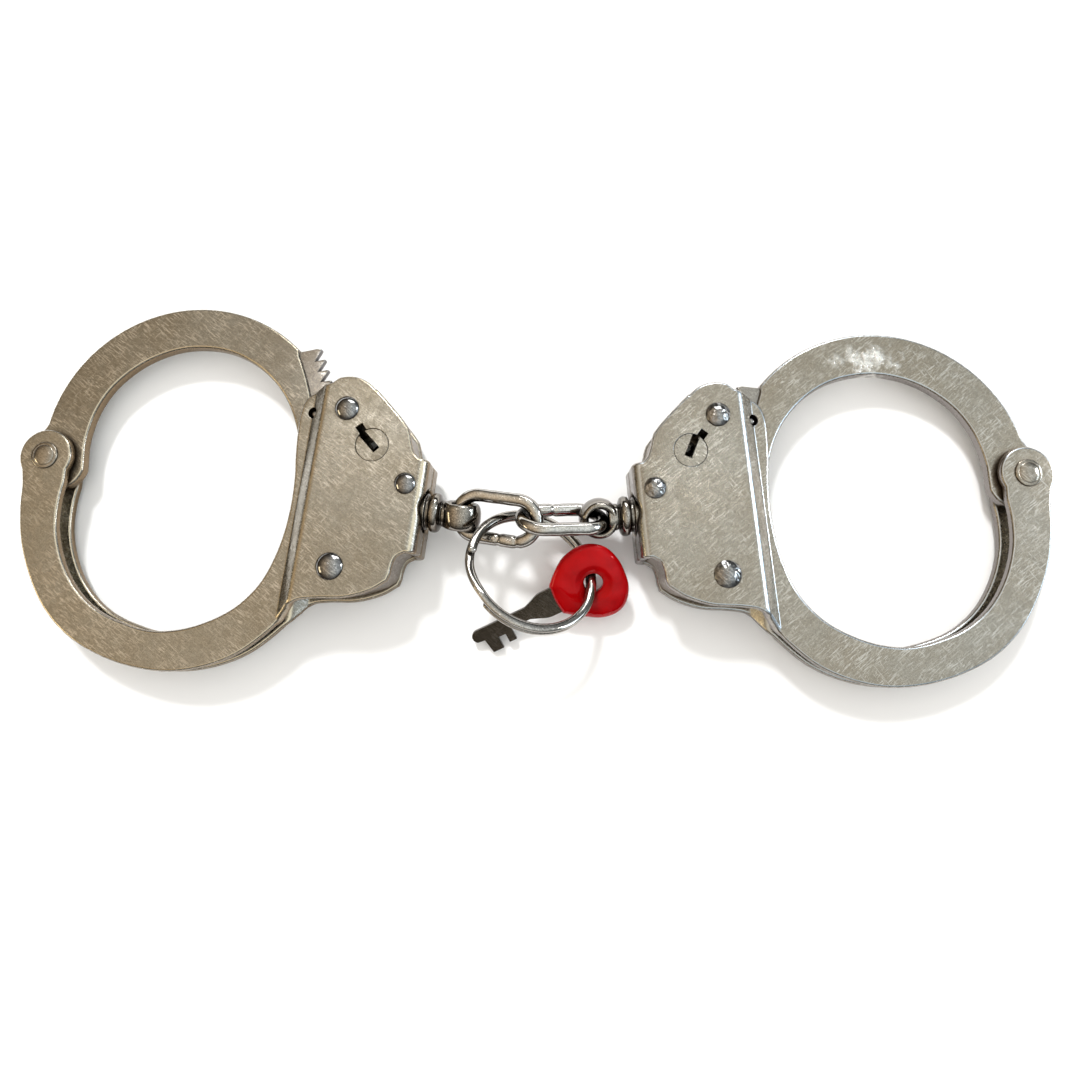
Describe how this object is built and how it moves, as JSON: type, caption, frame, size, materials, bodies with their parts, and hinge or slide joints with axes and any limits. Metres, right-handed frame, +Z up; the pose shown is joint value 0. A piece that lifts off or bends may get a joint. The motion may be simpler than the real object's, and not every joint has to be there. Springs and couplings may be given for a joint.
{
  "type": "handcuffs",
  "caption": "Swing-through chain handcuffs with ratchet arms, swivelling eyes joined by chain links, and a key on a split ring.",
  "frame": {"origin": "centre of the bounding box's footprint, on the surface the handcuffs lie on", "axes": "+X from the left cuff to the right cuff, +Y towards the ratchet arms' side, +Z up from the surface"},
  "size_m": [0.2364, 0.0886, 0.021],
  "materials": {
    "nickel_plate": "satin nickel plate, finely scratched",
    "rivet_steel": "smooth plated rivet heads",
    "chain_nickel": "bright nickel plate, dark in the joins",
    "lock_steel": "plain hardened steel",
    "key_steel": "dull grey steel",
    "red_vinyl": "glossy dipped vinyl"
  },
  "bodies": {
    "left_cuff": {"left_front_cheek": "nickel_plate", "left_back_cheek": "nickel_plate", "left_lock_frame": "nickel_plate", "left_pivot_rivet": "rivet_steel", "left_upper_rivet": "rivet_steel", "left_end_rivet": "rivet_steel", "left_pawl_rivet": "rivet_steel", "left_front_guide_pin": "rivet_steel", "left_back_guide_pin": "rivet_steel", "left_pawl_spring": "lock_steel", "left_swivel_bush": "chain_nickel"},
    "left_arm": {"left_ratchet_arm": "nickel_plate"},
    "left_pawl": {"left_pawl": "lock_steel"},
    "left_lock_bar": {"left_lock_bar": "lock_steel"},
    "left_key_plug": {"left_key_plug": "nickel_plate"},
    "left_swivel": {"left_swivel": "chain_nickel"},
    "left_link": {"left_link": "chain_nickel"},
    "right_cuff": {"right_front_cheek": "nickel_plate", "right_back_cheek": "nickel_plate", "right_lock_frame": "nickel_plate", "right_pivot_rivet": "rivet_steel", "right_upper_rivet": "rivet_steel", "right_end_rivet": "rivet_steel", "right_pawl_rivet": "rivet_steel", "right_front_guide_pin": "rivet_steel", "right_back_guide_pin": "rivet_steel", "right_pawl_spring": "lock_steel", "right_swivel_bush": "chain_nickel"},
    "right_arm": {"right_ratchet_arm": "nickel_plate"},
    "right_pawl": {"right_pawl": "lock_steel"},
    "right_lock_bar": {"right_lock_bar": "lock_steel"},
    "right_key_plug": {"right_key_plug": "nickel_plate"},
    "right_swivel": {"right_swivel": "chain_nickel"},
    "right_link": {"right_link": "chain_nickel"},
    "split_ring": {"split_ring": "chain_nickel"},
    "key": {"key_blade": "key_steel", "key_head": "red_vinyl"}
  },
  "joints": [
    {"name": "left_arm_swing", "type": "hinge", "parent": "left_cuff", "child": "left_arm", "pos_m": [-0.11185, 0.00827, 0.00456], "axis": [-0.0457, 0.006, 0.9989], "continuous": true},
    {"name": "left_pawl_lift", "type": "hinge", "parent": "left_cuff", "child": "left_pawl", "pos_m": [-0.04323, -0.01837, 0.00786], "axis": [-0.0457, 0.006, 0.9989], "range_deg": [-7, 0], "stiffness_Nm_per_rad": 0.02, "springref_deg": 10, "deforming": ["left_pawl_spring"]},
    {"name": "left_lock_bar_slide", "type": "slide", "parent": "left_cuff", "child": "left_lock_bar", "axis": [0.1312, 0.9914, 0], "range_m": [0, 0.0022]},
    {"name": "left_plug_turn", "type": "hinge", "parent": "left_cuff", "child": "left_key_plug", "pos_m": [-0.03481, 0.00866, 0.00808], "axis": [-0.0457, 0.006, 0.9989], "range_deg": [-90, 90]},
    {"name": "right_arm_swing", "type": "hinge", "parent": "right_cuff", "child": "right_arm", "pos_m": [0.11185, 0.0033, 0.00456], "axis": [-0.0459, -0.004, -0.9989], "continuous": true},
    {"name": "right_pawl_lift", "type": "hinge", "parent": "right_cuff", "child": "right_pawl", "pos_m": [0.0421, -0.02023, 0.00786], "axis": [-0.0459, -0.004, -0.9989], "range_deg": [-7, 0], "stiffness_Nm_per_rad": 0.02, "springref_deg": 10, "deforming": ["right_pawl_spring"]},
    {"name": "right_lock_bar_slide", "type": "slide", "parent": "right_cuff", "child": "right_lock_bar", "axis": [-0.0866, 0.9962, 0], "range_m": [0, 0.0022]},
    {"name": "right_plug_turn", "type": "hinge", "parent": "right_cuff", "child": "right_key_plug", "pos_m": [0.03491, 0.00715, 0.00808], "axis": [-0.0459, -0.004, -0.9989], "range_deg": [-90, 90]},
    {"name": "left_swivel_spin", "type": "hinge", "parent": "left_cuff", "child": "left_swivel", "pos_m": [-0.01574, -0.00637, 0.00905], "axis": [0.9903, -0.1311, 0.0461], "continuous": true},
    {"name": "left_link_swing", "type": "hinge", "parent": "left_swivel", "child": "left_link", "pos_m": [-0.01606, -0.00584, 0.00932], "axis": [0.121, 0.9621, 0.2444], "range_deg": [-15, 35]},
    {"name": "right_link_swing", "type": "hinge", "parent": "left_link", "child": "right_link", "pos_m": [0.00108, -0.00883, 0.0126], "axis": [0.121, 0.9621, 0.2444], "range_deg": [-35, 14]},
    {"name": "right_swivel_swing", "type": "hinge", "parent": "right_link", "child": "right_swivel", "pos_m": [0.01544, -0.00703, 0.00868], "axis": [-0.2437, 0.605, -0.758], "range_deg": [-12, 12]},
    {"name": "right_swivel_spin", "type": "hinge", "parent": "right_swivel", "child": "right_cuff", "pos_m": [0.01518, -0.00702, 0.00905], "axis": [-0.9952, -0.0865, 0.0461], "continuous": true},
    {"name": "ring_turn", "type": "hinge", "parent": "left_link", "child": "split_ring", "pos_m": [0.00035, -0.01907, 0.01198], "axis": [0.3787, 0.3854, 0.8415], "range_deg": [-20, 5]},
    {"name": "key_turn", "type": "hinge", "parent": "split_ring", "child": "key", "pos_m": [0.0134, -0.02111, 0.00704], "axis": [-0.0134, 0.9114, -0.4114], "range_deg": [-20, 12]}
  ]
}
